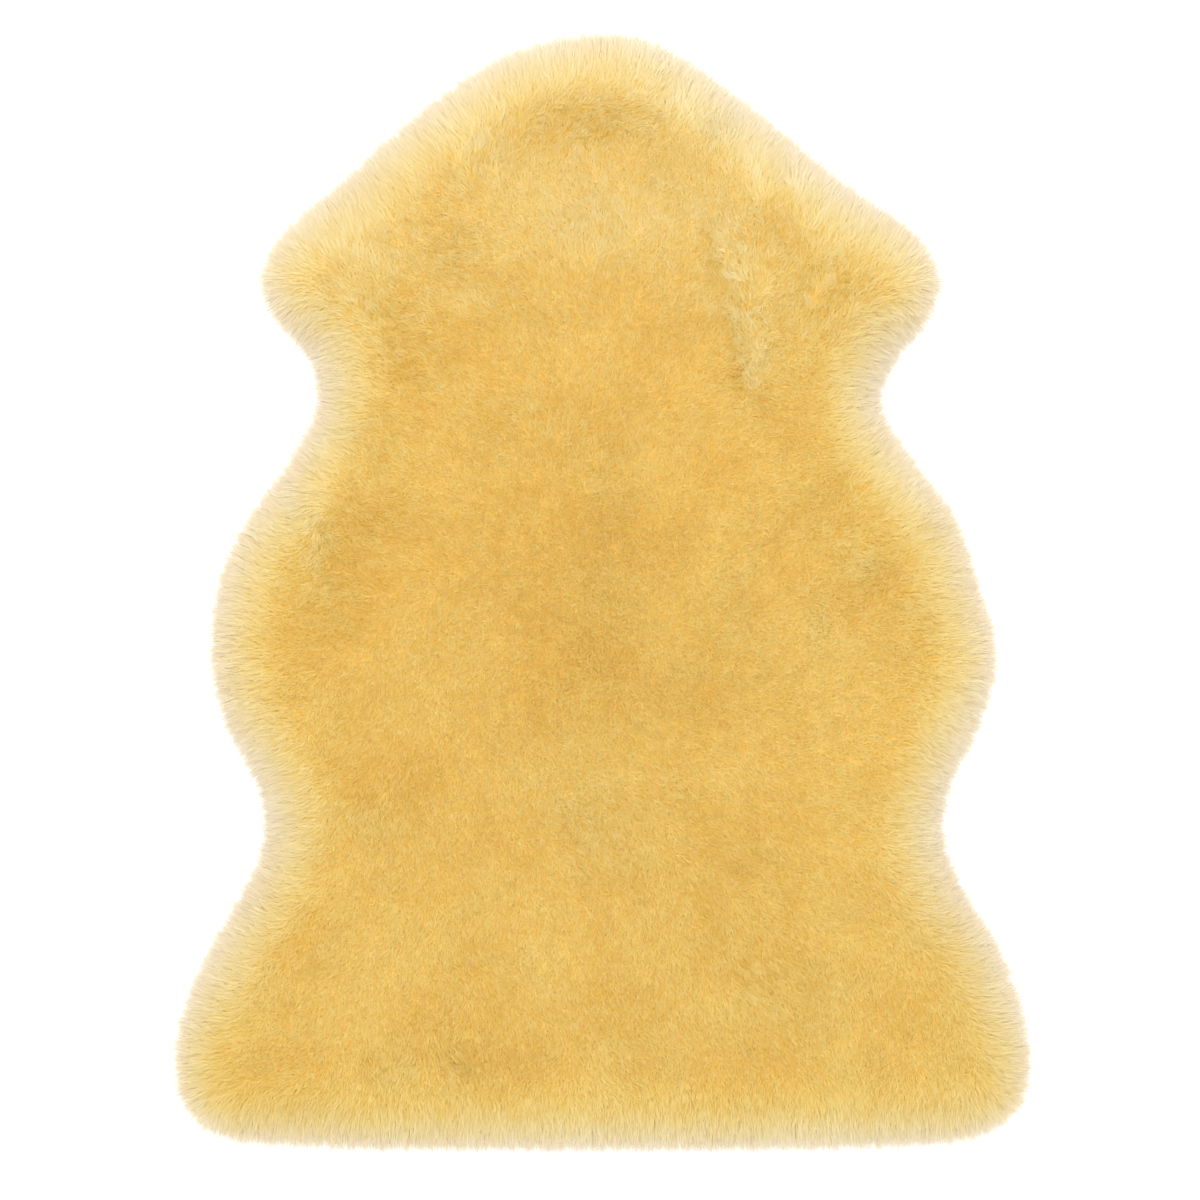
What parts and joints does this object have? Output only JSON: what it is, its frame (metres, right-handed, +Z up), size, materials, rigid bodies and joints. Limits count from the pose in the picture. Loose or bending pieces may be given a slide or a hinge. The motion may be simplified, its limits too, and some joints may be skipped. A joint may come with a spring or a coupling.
{
  "type": "medical sheepskin",
  "caption": "Flat sheepskin with a lobed fleece outline and short golden wool on its tanned hide, laid under a person to ease pressure and keep warm.",
  "frame": {"origin": "on the surface the skin lies on, under the middle of its box", "axes": "+X across the skin to its right with the wool up, +Y along the backbone towards the head end, +Z up through the wool"},
  "size_m": [0.7278, 0.949, 0.0337],
  "materials": {
    "wool": "soft golden shorn wool, paler towards the tips and the rim",
    "hide": "napped flesh side of the tanned hide, pale buff"
  },
  "bodies": {
    "root": {"sheepskin": "wool"}
  },
  "joints": []
}
